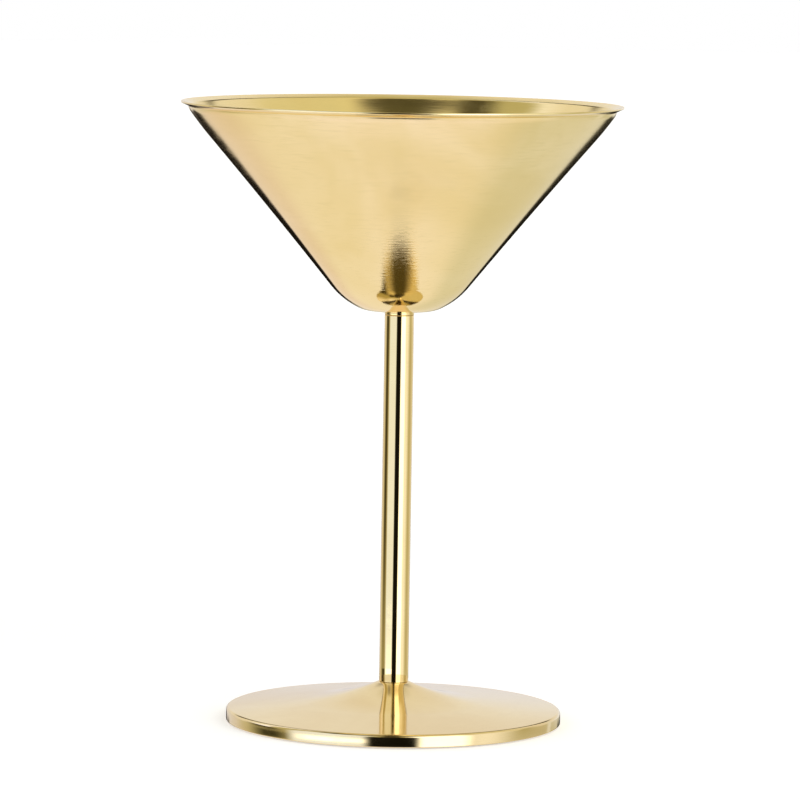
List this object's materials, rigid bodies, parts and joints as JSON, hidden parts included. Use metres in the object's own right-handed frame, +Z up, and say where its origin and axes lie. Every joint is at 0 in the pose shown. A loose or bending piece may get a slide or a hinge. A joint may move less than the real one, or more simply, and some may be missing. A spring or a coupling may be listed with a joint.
{
  "type": "martini glass",
  "caption": "Spun brass martini glass: cone-shaped bowl with a turned-out lip on a slim tube stem and a flared, weighted round foot with a non-slip pad.",
  "frame": {"origin": "centre of the foot's resting face, on the surface the glass stands on", "axes": "+Z up along the stem, which is the axis that every piece is turned about; +X and +Y are equal"},
  "size_m": [0.12, 0.12, 0.1695],
  "materials": {
    "bowl_brass": "fine circumferential satin brushing",
    "stem_brass": "mirror polish",
    "foot_brass": "near-mirror polish with faint turning marks",
    "fitting_brass": "turned, lightly polished",
    "plate_brass": "plain pressed sheet",
    "fastener_steel": "zinc plated",
    "weight_steel": "as turned, oiled",
    "pad_rubber": "matt, finely textured"
  },
  "bodies": {
    "root": {"bowl": "bowl_brass", "bowl_boss": "fitting_brass", "stem_tube": "stem_brass", "tie_rod": "fastener_steel", "foot_shell": "foot_brass", "foot_boss": "fitting_brass", "washer": "fastener_steel", "clamp_nut": "fastener_steel", "foot_weight": "weight_steel", "base_plate": "plate_brass", "base_pad": "pad_rubber"}
  },
  "joints": []
}
